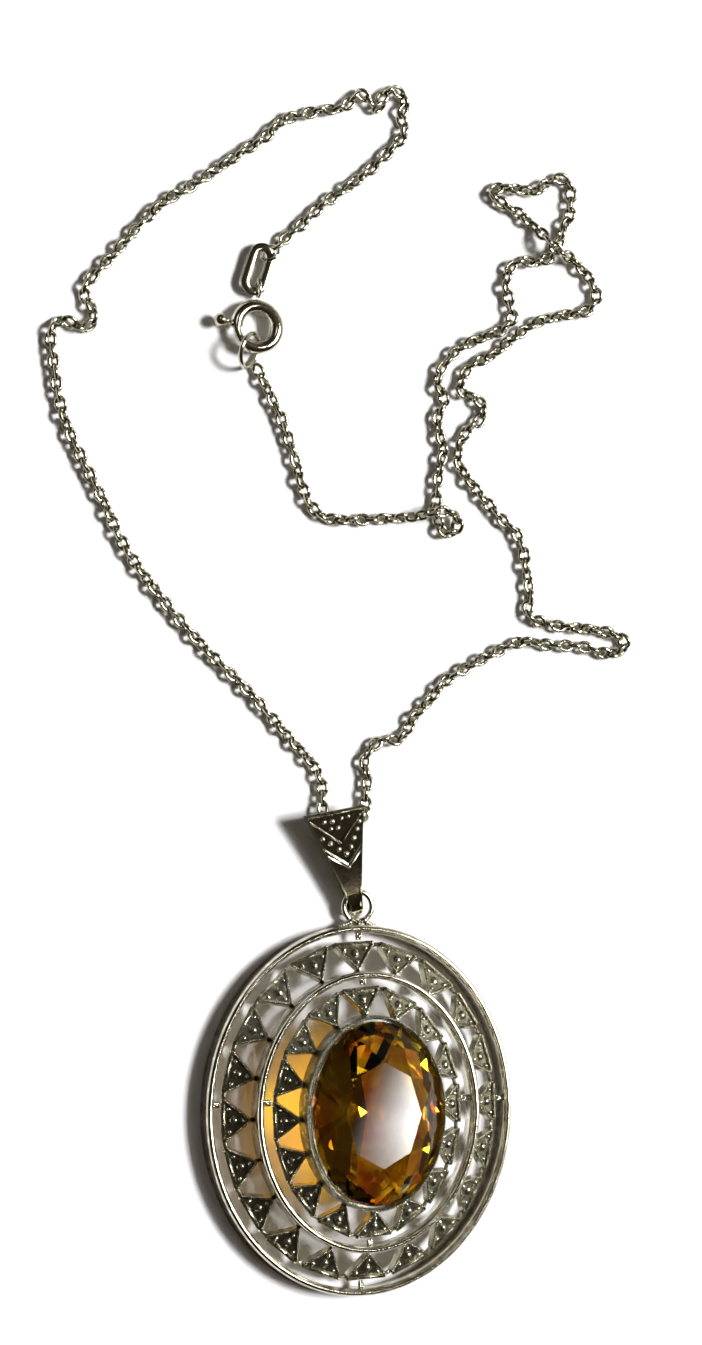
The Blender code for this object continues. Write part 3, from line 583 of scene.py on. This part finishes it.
def plaque_ring(name, base, tip, heights, count, turn, share, body_node):
    """Plaques at even steps round an oval, sloping up from their bases to their tips."""
    half = share / 2
    corners = even_angles(base, [(n + turn + side) / count for n in range(count) for side in (-half, half)])
    tips = even_angles(base, [(n + turn) / count for n in range(count)])
    bm = bmesh.new()
    mesh = None
    for number in range(count):
        left = oval_point(base, corners[2 * number], heights[0])
        right = oval_point(base, corners[2 * number + 1], heights[0])
        point = oval_point(tip, tips[number], heights[1])
        middle = (left + right) / 2
        if mesh is None:
            width, height = (left - right).length, (point - middle).length
            mesh = plaque_mesh(width, height, width / share)
        along = (left - right).normalized()
        inward = (point - middle).normalized()
        upward = along.cross(inward).normalized()
        inward_size = (point - middle).length / height
        stand = Matrix((along, inward * inward_size, upward)).transposed().to_4x4()
        before = len(bm.verts)
        bm.from_mesh(mesh)
        bm.verts.ensure_lookup_table()
        bmesh.ops.transform(bm, matrix=Matrix.Translation(middle) @ stand, verts=bm.verts[before:])
    bpy.data.meshes.remove(mesh)
    materials = [satin_silver, recess_shade_silver, bead_and_lit_ridge_silver, seed_silver]
    return finish_piece(name, bm, materials, "pendant", [body_node], 45)


# A bright silver for the beads, and painted highlight on the left arms of the bail's ridges.
bead_and_lit_ridge_silver = silver("bead_and_lit_ridge_silver", (0.93, 0.91, 0.82), (0.66, 0.62, 0.50), 0.1, 0.2, 1500.0, 0.00002)
seed_silver = silver("seed_silver", (0.60, 0.58, 0.47), (0.30, 0.28, 0.21), 0.16, 0.3, 1500.0, 0.00005)
plaque_ring("outer_plaques", base=(15.95, 18.5), tip=(12.95, 15.4), heights=(1.9, 3.4), count=20,
            turn=-0.13, share=0.843, body_node="outer_gallery")
plaque_ring("inner_plaques", base=(10.9, 13.75), tip=(8.1, 10.7), heights=(4.3, 5.6), count=16,
            turn=-0.15, share=0.86, body_node="inner_gallery")

# %% [markdown]
# ## Bezel and stone
# The bezel is a thin collar that is burnished in over the stone, with a row of grains along its top.
# The stone is cut the way a cutter cuts it: a blank is sliced by one flat plane after another, and
# each cut is closed with a flat face. The planes belong to a round brilliant, and the stone is then
# stretched to an oval, which keeps every facet flat. The glass is deep amber, with painted light in its
# colour: redder and darker on the left, yellow on the right. Light that passes through it is coloured too,
# so the table beside it gets warm patches.

# %% Bezel
BEZEL = (7.95, 10.55)
bezel_profile = [
    (0, 4.64), (0, 7.0), (-0.03, 7.3), (-0.1, 7.5), (-0.2, 7.6), (-0.3, 7.56), (-0.36, 7.45),
    (-0.36, 4.64), (-0.32, 4.6), (-0.04, 4.6),
]
# Painted shade: this darkened silver covers the bezel, its grains, the stone's seat and the bolt's spring.
shaded_collar_silver = silver("shaded_collar_silver", (0.50, 0.50, 0.42), (0.20, 0.21, 0.17), 0.2, 0.36, 1200.0, 0.00003)
bezel_bm = bmesh.new()
sweep_ring(bezel_bm, bezel_profile, oval_shape(*BEZEL), 160)
bmesh.ops.translate(bezel_bm, verts=bezel_bm.verts, vec=OVAL_CENTRE)
grain_line = (BEZEL[0] - 0.2, BEZEL[1] - 0.2)
for angle in even_angles(grain_line, [number / 176 for number in range(176)]):
    add_bead(bezel_bm, oval_point(grain_line, angle, 7.56), 0.135, 1.0, 6, 5, 1)
finish_piece("milled_bezel", bezel_bm, [shaded_collar_silver, shaded_collar_silver], "pendant", ["bezel"],
             50)
for node in ("stone_seat", "bolt_spring"):
    for slot_number in range(len(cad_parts[node].material_slots)):
        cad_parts[node].material_slots[slot_number].material = shaded_collar_silver

# %% Stone
GIRDLE = (7.42, 9.92)


def slice_off(bm, place, normal):
    """Cuts away what lies outside a plane, and closes the cut with one flat face."""
    everything = bm.verts[:] + bm.edges[:] + bm.faces[:]
    cut = bmesh.ops.bisect_plane(bm, geom=everything, dist=0.0005, plane_co=place, plane_no=normal,
                                 clear_outer=True, clear_inner=False)
    rim = [item for item in cut["geom_cut"] if isinstance(item, bmesh.types.BMEdge)]
    if rim:
        bmesh.ops.contextual_create(bm, geom=rim)


def facets(bm, count, offset, low, high):
    """Planes round the stone through two points, each a share of its size and a height."""
    for number in range(count):
        turn = 2 * math.pi * (number + offset) / count
        out = Vector((math.sin(turn), math.cos(turn), 0))
        slope = Vector((high[0] - low[0], high[1] - low[1]))
        normal = out * slope.y - Vector((0, 0, slope.x))
        if normal.dot(out) < 0:
            normal.negate()
        slice_off(bm, out * low[0] + Vector((0, 0, low[1])), normal)


stone_bm = bmesh.new()
bmesh.ops.create_cone(stone_bm, cap_ends=True, cap_tris=False, segments=96, radius1=1, radius2=1,
                      depth=9, matrix=Matrix.Translation((0, 0, 5.3)))
slice_off(stone_bm, (0, 0, 9.5), (0, 0, 1))
facets(stone_bm, 8, 0.0, (1.0, 7.2), (0.58, 9.5))  # kites of the crown
facets(stone_bm, 8, 0.5, (0.8, 8.5), (0.535, 9.5))  # stars round the table
facets(stone_bm, 16, 0.5, (1.0, 7.17), (0.83, 8.35))  # upper girdle
facets(stone_bm, 8, 0.0, (1.0, 6.6), (0.0, 1.1))  # mains of the pavilion
facets(stone_bm, 16, 0.5, (1.0, 6.95), (0.55, 3.6))  # lower girdle
bmesh.ops.scale(stone_bm, verts=stone_bm.verts, vec=(GIRDLE[0], GIRDLE[1], 1))
bmesh.ops.translate(stone_bm, verts=stone_bm.verts, vec=OVAL_CENTRE)
bmesh.ops.dissolve_degenerate(stone_bm, edges=stone_bm.edges, dist=0.001)
bmesh.ops.recalc_face_normals(stone_bm, faces=stone_bm.faces)
amber, amber_nodes, amber_shader = new_material("amber_glass", Roughness=0.0, IOR=1.55)
amber_shader.inputs["Transmission Weight"].default_value = 1.0
place = amber_nodes.out(amber_nodes.add("ShaderNodeTexCoord"), "Object")
place_parts = amber_nodes.add("ShaderNodeSeparateXYZ", Vector=place)
x, y = amber_nodes.out(place_parts, "X"), amber_nodes.out(place_parts, "Y")
flame = amber_nodes.out(amber_nodes.add("ShaderNodeTexNoise", Vector=place, Scale=330.0, Detail=2.0), "Fac")
z = amber_nodes.out(place_parts, "Z")
# Painted light in the glass colour: red on the left and yellow on the right, as if lit from the right, with
# a random flicker; it turns dark brown towards the bottom.
right_lit_share = ((flame - 0.5) * 3.2 + x * 70.0 + 0.55).clamped()
depth = ((0.0052 - z) * 900.0).clamped()
side_lit_colour = mixed(amber_nodes, right_lit_share, (0.66, 0.12, 0.01, 1), (1.0, 0.72, 0.01, 1))
feed(amber_nodes, mixed(amber_nodes, depth, side_lit_colour, (0.26, 0.13, 0.03, 1)), amber_shader, "Base Color")
ray = amber_nodes.add("ShaderNodeLightPath")
across, along = (x + 0.0060) * 340.0, (y + 0.0058) * 300.0
bright_spot = (1.35 - across * across - along * along).clamped()
dim = amber_nodes.add("ShaderNodeBsdfTransparent", Color=(0.30, 0.21, 0.0, 1))
clear = amber_nodes.add("ShaderNodeBsdfTransparent", Color=(1.0, 0.88, 0.0, 1))
through = amber_nodes.add("ShaderNodeMixShader", i0=bright_spot)
amber_nodes.tree.links.new(dim.outputs[0], through.inputs[1])
amber_nodes.tree.links.new(clear.outputs[0], through.inputs[2])
blend = amber_nodes.add("ShaderNodeMixShader", i0=amber_nodes.out(ray, "Is Shadow Ray"))
amber_nodes.tree.links.new(amber_shader.outputs[0], blend.inputs[1])
amber_nodes.tree.links.new(through.outputs[0], blend.inputs[2])
amber_end = amber_nodes.tree.nodes["Material Output"]
amber_nodes.tree.links.new(blend.outputs[0], amber_end.inputs["Surface"])
finish_piece("faceted_stone", stone_bm, [amber], "pendant", ["stone"], 1)

# %% [markdown]
# ## Small joining pieces
# Short lumpy struts tie each gallery to the rim outside it: two twists of wire side by side, with a
# blob of solder. The hanging ring on top of the rim is one plain thick wire.


# %% Struts and hanging ring
def strut(name, clockwise, height, rim, base, node):
    """Two rows of beads from a rim in to a gallery's base, with a blob of solder in the middle."""
    angle = math.radians(clockwise)
    start, end = oval_point(rim, angle, height), oval_point(base, angle, height)
    along = (end - start).normalized()
    across = Vector((0, 0, 1)).cross(along)
    middle, reach = (start + end) / 2, (end - start).length
    bm = bmesh.new()
    for side in (-1, 1):
        for number in range(4):
            share = (number + 0.5) / 4
            place = start.lerp(end, share) + across * side * 0.17 + Vector((0, 0, 0.08 * side))
            add_bead(bm, place, 0.2 if number % 2 else 0.23, 1.0, 10, 8)
    add_bead(bm, middle + Vector((0, 0, 0.05)), min(0.3, reach * 0.42), 0.9, 10, 8)
    return finish_piece(name, bm, [bead_and_lit_ridge_silver], "pendant", [node], 60)


for place, clockwise in {"top": 0, "right": 87, "bottom": 179, "left": 273}.items():
    strut("outer_tie_" + place, clockwise, 1.55, (16.68, 19.18), (15.98, 18.53), "outer_strut_" + place)
for place, clockwise in {"top": -2, "right": 85, "bottom": 178, "left": 275}.items():
    strut("inner_tie_" + place, clockwise, 3.95, (11.88, 14.33), (10.95, 13.8), "inner_strut_" + place)


def wire_ring(name, stand, radii, wire, material, body, node, segments=64, sides=14):
    """A closed ring of round wire, built flat and then stood up."""
    bm = bmesh.new()
    sweep_ring(bm, round_profile(wire, sides), oval_shape(*radii), segments)
    bmesh.ops.transform(bm, matrix=stand, verts=bm.verts)
    return finish_piece(name, bm, [material], body, [node], 80)


wire_ring("pendant_ring", Matrix.Translation(RING_CENTRE), (RING_RADIUS, RING_RADIUS), 0.31,
          polished_silver, "pendant", "hanging_ring")

fillet_bm = bmesh.new()
for side in (-1, 1):
    for number in range(6):
        share = number / 5
        place = (side * (0.75 + 1.2 * share), 14.0 - 0.6 * share ** 0.6, 1.3)
        add_bead(fillet_bm, place, 0.4 - 0.2 * share, 1.25, 12, 8)
add_bead(fillet_bm, (0, 13.62, 1.3), 0.42, 1.25, 12, 8)
finish_piece("ring_solder", fillet_bm, [polished_silver], "pendant", [], 80)

# %% [markdown]
# ## Bail
# The bail is one sheet. Its front is a long taper with a raised edge: a beaded triangle at the top, a
# beaded V below it, both framed by milled ridges, and a plain hollow down to the hook. A narrower
# strip is folded over behind the front, round the chain, and comes back to the hook.

# %% Bail
def front_height(along):
    """The height of the front's face at a distance from the ring's wire."""
    return 2.42 + 0.078 * max(along, 0.0) if along > -1.2 else 2.42 + 0.35 * (along + 1.2)


bail_bm = bmesh.new()
edges = [((-0.66, -1.9), (0.6, -1.9)), ((-0.78, -0.9), (0.72, -0.9)), ((-0.97, 0), (0.93, 0)),
         ((-1.85, 3.6), (1.85, 3.6)), ((-2.7, 6.8), (2.68, 6.6)), ((-3.55, 9.7), (3.42, 9.06))]
rows = [[bail_bm.verts.new((*corner, front_height(corner[1]))) for corner in pair] for pair in edges]
for low, high in zip(rows, rows[1:]):
    bail_bm.faces.new((low[0], low[1], high[1], high[0]))
front = bail_bm.faces[:]
back = bmesh.ops.extrude_face_region(bail_bm, geom=front, use_keep_orig=True)
lower = [item for item in back["geom"] if isinstance(item, bmesh.types.BMVert)]
bmesh.ops.translate(bail_bm, verts=lower, vec=(0, 0, -0.36))
bmesh.ops.recalc_face_normals(bail_bm, faces=bail_bm.faces)
tops = [face for face in bail_bm.faces if face.normal.z > 0.7]
bmesh.ops.inset_region(bail_bm, faces=tops, thickness=0.16, depth=0.0, use_even_offset=True)
bmesh.ops.inset_region(bail_bm, faces=tops, thickness=0.1, depth=-0.16, use_even_offset=True)
# The recessed faces of the front take the near-black brown silver: painted shade in the hollow.
for face in tops:
    face.material_index = 1


def ridge(start, end, width=0.26, grains=True, material=0):
    """A raised bar across the front between two points, with a row of grains on it."""
    start, end = Vector(start), Vector(end)
    middle = (start + end) / 2
    angle = math.atan2(end.y - start.y, end.x - start.x)
    height = front_height(middle.y)
    size = ((end - start).length, width, 0.26)
    add_bar(bail_bm, (middle.x, middle.y, height - 0.06), size, 0.05, material, angle)
    if grains:
        count = round((end - start).length / 0.2)
        for number in range(count + 1):
            place = start.lerp(end, number / count)
            add_bead(bail_bm, (place.x, place.y, front_height(place.y) + 0.06), 0.1, 1.0, 6, 4, material)


first_tip, second_tip = (-0.2, 5.7), (0.03, 2.85)
ridge((-3.2, 9.3), (3.15, 8.75), 0.3)
# Painted highlight and shade: the left arms of the ridges take the bright silver, the right arms the dark
# olive silver.
ridge((-3.05, 8.85), first_tip, material=2)
ridge(first_tip, (2.95, 8.4))
ridge((-2.25, 5.6), (second_tip[0], second_tip[1] + 0.42), 0.3, material=2)
ridge((second_tip[0], second_tip[1] + 0.42), (2.25, 5.3), 0.3)
ridge((-2.0, 4.75), second_tip, 0.18, False, 2)
ridge(second_tip, (2.02, 4.5), 0.18, False)
for across, along, radius in ((-1.5, 8.45, 0.3), (-0.6, 8.3, 0.36), (0.55, 8.35, 0.26),
                              (-0.1, 7.45, 0.3), (-0.9, 7.55, 0.24), (1.35, 8.3, 0.22)):
    add_bead(bail_bm, (across, along, front_height(along) - 0.06), radius, 0.8, 12, 8, 2)
for across, along, radius in ((-2.1, 6.75, 0.3), (-1.35, 6.0, 0.34), (-0.55, 5.15, 0.32),
                              (0.15, 4.45, 0.36), (0.85, 5.05, 0.32), (1.4, 5.9, 0.34),
                              (2.0, 6.75, 0.3), (2.45, 7.5, 0.26)):
    add_bead(bail_bm, (across, along, front_height(along) - 0.08), radius, 0.8, 12, 8, 2)
strip = [(-1.6, 1.8, 1.2, 0), (0, 1.82, 1.3, 0), (3.6, 2.12, 1.9, 0.6), (7.2, 2.42, 2.4, 1.4),
         (7.8, 2.3, 2.4, 1.4), (8.15, 1.95, 2.4, 1.4), (8.25, 1.45, 2.4, 1.4), (8.15, 0.95, 2.4, 1.4),
         (7.8, 0.56, 2.4, 1.4), (7.2, 0.42, 2.4, 1.4), (3.6, 0.58, 1.9, 0.6), (0, 0.76, 1.3, 0),
         (-1.6, 0.8, 1.2, 0), (-1.95, 0.95, 1.2, 0), (-2.1, 1.3, 1.2, 0), (-1.95, 1.65, 1.2, 0)]
strip_rows = []
for along, height, width, offset in strip:
    strip_rows.append([bail_bm.verts.new((offset + side * width / 2, along, height)) for side in (-1, 1)])
strip_faces = [bail_bm.faces.new((row[0], row[1], following[1], following[0]))
               for row, following in zip(strip_rows, strip_rows[1:] + strip_rows[:1])]
bmesh.ops.recalc_face_normals(bail_bm, faces=strip_faces)
bmesh.ops.solidify(bail_bm, geom=strip_faces, thickness=-0.3)
bmesh.ops.transform(bail_bm, matrix=BAIL_FRAME, verts=bail_bm.verts)
finish_piece("engraved_bail", bail_bm, [shaded_olive_silver, bail_hollow_shade_silver, bead_and_lit_ridge_silver], "bail", ["bail"],
             45)

# %% [markdown]
# ## Clasp
# A bolt ring is a curved hollow tube with a gap. A curved bolt slides out of the tube to close the
# gap, and a ball on a stem pulls it back against a hidden spring. A loop on the tube holds a flat
# oblong tag, whose other end hangs on the chain's end ring. A jump ring joins the bolt ring to the
# chain's other end.

# %% Clasp rings
def standing(centre, line_turn, tilt):
    """A frame whose XY plane holds a level line and is tilted about it."""
    return Matrix.Translation(centre) @ Matrix.Rotation(line_turn, 4, "Z") @ Matrix.Rotation(tilt, 4, "X")


END_RING = standing((-10.05, 86.24, 1.0), math.radians(45), math.radians(-52))
wire_ring("end_ring_wire", END_RING, (1.0, 1.0), 0.2, polished_silver, "end_ring", "chain_end_ring",
          segments=40, sides=10)
BOLT_FRAME = Matrix.Translation((-11.64, 78.18, 1.44)) @ Matrix.Rotation(math.radians(-6), 4, "X")
JUMP_TURN = math.radians(250.6)
jump_centre = BOLT_FRAME @ Vector((2.8 * math.cos(JUMP_TURN), 2.8 * math.sin(JUMP_TURN), 0))
wire_ring("jump_ring_wire", standing(jump_centre, JUMP_TURN, math.radians(-45)), (1.85, 1.85), 0.27,
          polished_silver, "jump_ring", "clasp_jump_ring")
eye_stand = BOLT_FRAME @ Matrix.Translation((0.3, 4.26, 0)) @ Matrix.Rotation(math.pi / 2, 4, "Y")
wire_ring("bolt_ring_loop", eye_stand, (0.74, 0.98), 0.165, polished_silver, "bolt_ring",
          "bolt_ring_eye", segments=36, sides=10)


# %% Tag, tube, bolt and trigger
def bent_rod(bm, start, end, radius, reach, steps, sides=20):
    """A rod bent round the bolt ring's centre, between two angles in degrees, with flat ends."""
    first = math.radians(start)
    matrix = (Matrix.Rotation(first, 4, "Z") @ Matrix.Translation((reach, 0, 0))
              @ Matrix.Rotation(math.pi / 2, 4, "X"))
    made = bmesh.ops.create_circle(bm, cap_ends=True, segments=sides, radius=radius, matrix=matrix)
    faces = list({face for vert in made["verts"] for face in vert.link_faces})
    bmesh.ops.spin(bm, geom=faces, cent=(0, 0, 0), axis=(0, 0, 1), dvec=(0, 0, 0),
                   angle=math.radians(end) - first, steps=steps, use_merge=False,
                   use_duplicate=False)


def oblong(bm, width, height, level):
    """A closed loop of edges, straight at the sides and round at the ends."""
    straight = (height - width) / 2
    loop = []
    for number in range(26):
        end, t = (1 if number < 13 else -1), math.pi * (number % 13) / 12
        x, y = end * width / 2 * math.cos(t), end * (straight + width / 2 * math.sin(t))
        loop.append(bm.verts.new((x, y, level)))
    return [bm.edges.new(pair) for pair in zip(loop, loop[1:] + loop[:1])]


TAG_SIZE = (3.0, 5.9)
TAG_HOLE = (1.2, 4.1)
TAG_THICKNESS = 0.4
tag_bm = bmesh.new()
tag_top = TAG_THICKNESS / 2
tag_loops = oblong(tag_bm, *TAG_SIZE, tag_top) + oblong(tag_bm, *TAG_HOLE, tag_top)
bmesh.ops.bridge_loops(tag_bm, edges=tag_loops)
sheet = bmesh.ops.extrude_face_region(tag_bm, geom=tag_bm.faces[:], use_keep_orig=True)
lower = [item for item in sheet["geom"] if isinstance(item, bmesh.types.BMVert)]
bmesh.ops.translate(tag_bm, verts=lower, vec=(0, 0, -TAG_THICKNESS))
bmesh.ops.recalc_face_normals(tag_bm, faces=tag_bm.faces)
sharp = [edge for edge in tag_bm.edges if edge.calc_face_angle(0) > 1]
bmesh.ops.bevel(tag_bm, geom=sharp, offset=0.09, affect="EDGES", segments=2, profile=0.5, material=-1)
tag_stand = Matrix.Translation((-11.37, 84.46, 1.0)) @ Matrix.Rotation(math.radians(-18), 4, "Z")
bmesh.ops.transform(tag_bm, matrix=tag_stand, verts=tag_bm.verts)
# The tag is in the dark olive silver: painted shade that keeps its flat faces dark.
finish_piece("stamped_tag", tag_bm, [shaded_olive_silver], "tag", ["end_tag"], 35)

tube_bm = bmesh.new()
tube_start, tube_end = -128, 182
ring_radius, tube_radius, hollow = 2.3, 0.7, 0.53
for radius in (tube_radius, hollow):
    first = math.radians(tube_start)
    matrix = (Matrix.Rotation(first, 4, "Z") @ Matrix.Translation((ring_radius, 0, 0))
              @ Matrix.Rotation(math.pi / 2, 4, "X"))
    made = bmesh.ops.create_circle(tube_bm, cap_ends=False, segments=24, radius=radius, matrix=matrix)
    loop = made["verts"] + list({edge for vert in made["verts"] for edge in vert.link_edges})
    bmesh.ops.spin(tube_bm, geom=loop, cent=(0, 0, 0), axis=(0, 0, 1), dvec=(0, 0, 0),
                   angle=math.radians(tube_end - tube_start), steps=64, use_merge=False,
                   use_duplicate=False)
ends = [edge for edge in tube_bm.edges if edge.is_boundary]
first_mouth = [edge for edge in ends if edge.verts[0].co.y < -1]
last_mouth = [edge for edge in ends if edge.verts[0].co.y >= -1]
for mouth in (first_mouth, last_mouth):
    bmesh.ops.bridge_loops(tube_bm, edges=mouth)
bmesh.ops.recalc_face_normals(tube_bm, faces=tube_bm.faces)
bmesh.ops.transform(tube_bm, matrix=BOLT_FRAME, verts=tube_bm.verts)
finish_piece("bolt_ring_tube", tube_bm, [polished_silver], "bolt_ring", ["bolt_ring_case"],
             40)

BOLT_ENDS = (118, 236)
BOLT_RADIUS = 0.42
bolt_bm = bmesh.new()
bent_rod(bolt_bm, *BOLT_ENDS, BOLT_RADIUS, ring_radius, 30)
bmesh.ops.recalc_face_normals(bolt_bm, faces=bolt_bm.faces)
bmesh.ops.transform(bolt_bm, matrix=BOLT_FRAME, verts=bolt_bm.verts)
finish_piece("curved_bolt", bolt_bm, [satin_silver], "bolt", ["bolt"], 40)

TRIGGER_TURN = math.radians(171)
TRIGGER_REACH = 4.15
TRIGGER_BALL = 0.75
trigger_bm = bmesh.new()
outward = Vector((math.cos(TRIGGER_TURN), math.sin(TRIGGER_TURN), 0))
stem_turn = Vector((0, 0, 1)).rotation_difference(outward).to_matrix().to_4x4()
bmesh.ops.create_cone(trigger_bm, cap_ends=True, segments=14, radius1=0.2, radius2=0.18, depth=1.2,
                      matrix=Matrix.Translation(outward * 3.35) @ stem_turn)
add_bead(trigger_bm, outward * TRIGGER_REACH, TRIGGER_BALL, 1.0, 24, 16)
add_bead(trigger_bm, outward * 3.45, 0.34, 1.0, 16, 10)
bmesh.ops.transform(trigger_bm, matrix=BOLT_FRAME, verts=trigger_bm.verts)
finish_piece("trigger_ball", trigger_bm, [polished_silver], "bolt", ["trigger"], 60)


# %% [markdown]
# ## The chain's route in metres
# The chain lies loose on the table. Its route starts at the end ring, and it is sampled here as
# points in metres.

# %% Cord
chain_route = [tuple(chain_path.at(chain_path.length * n / 700) * MM) for n in range(701)]
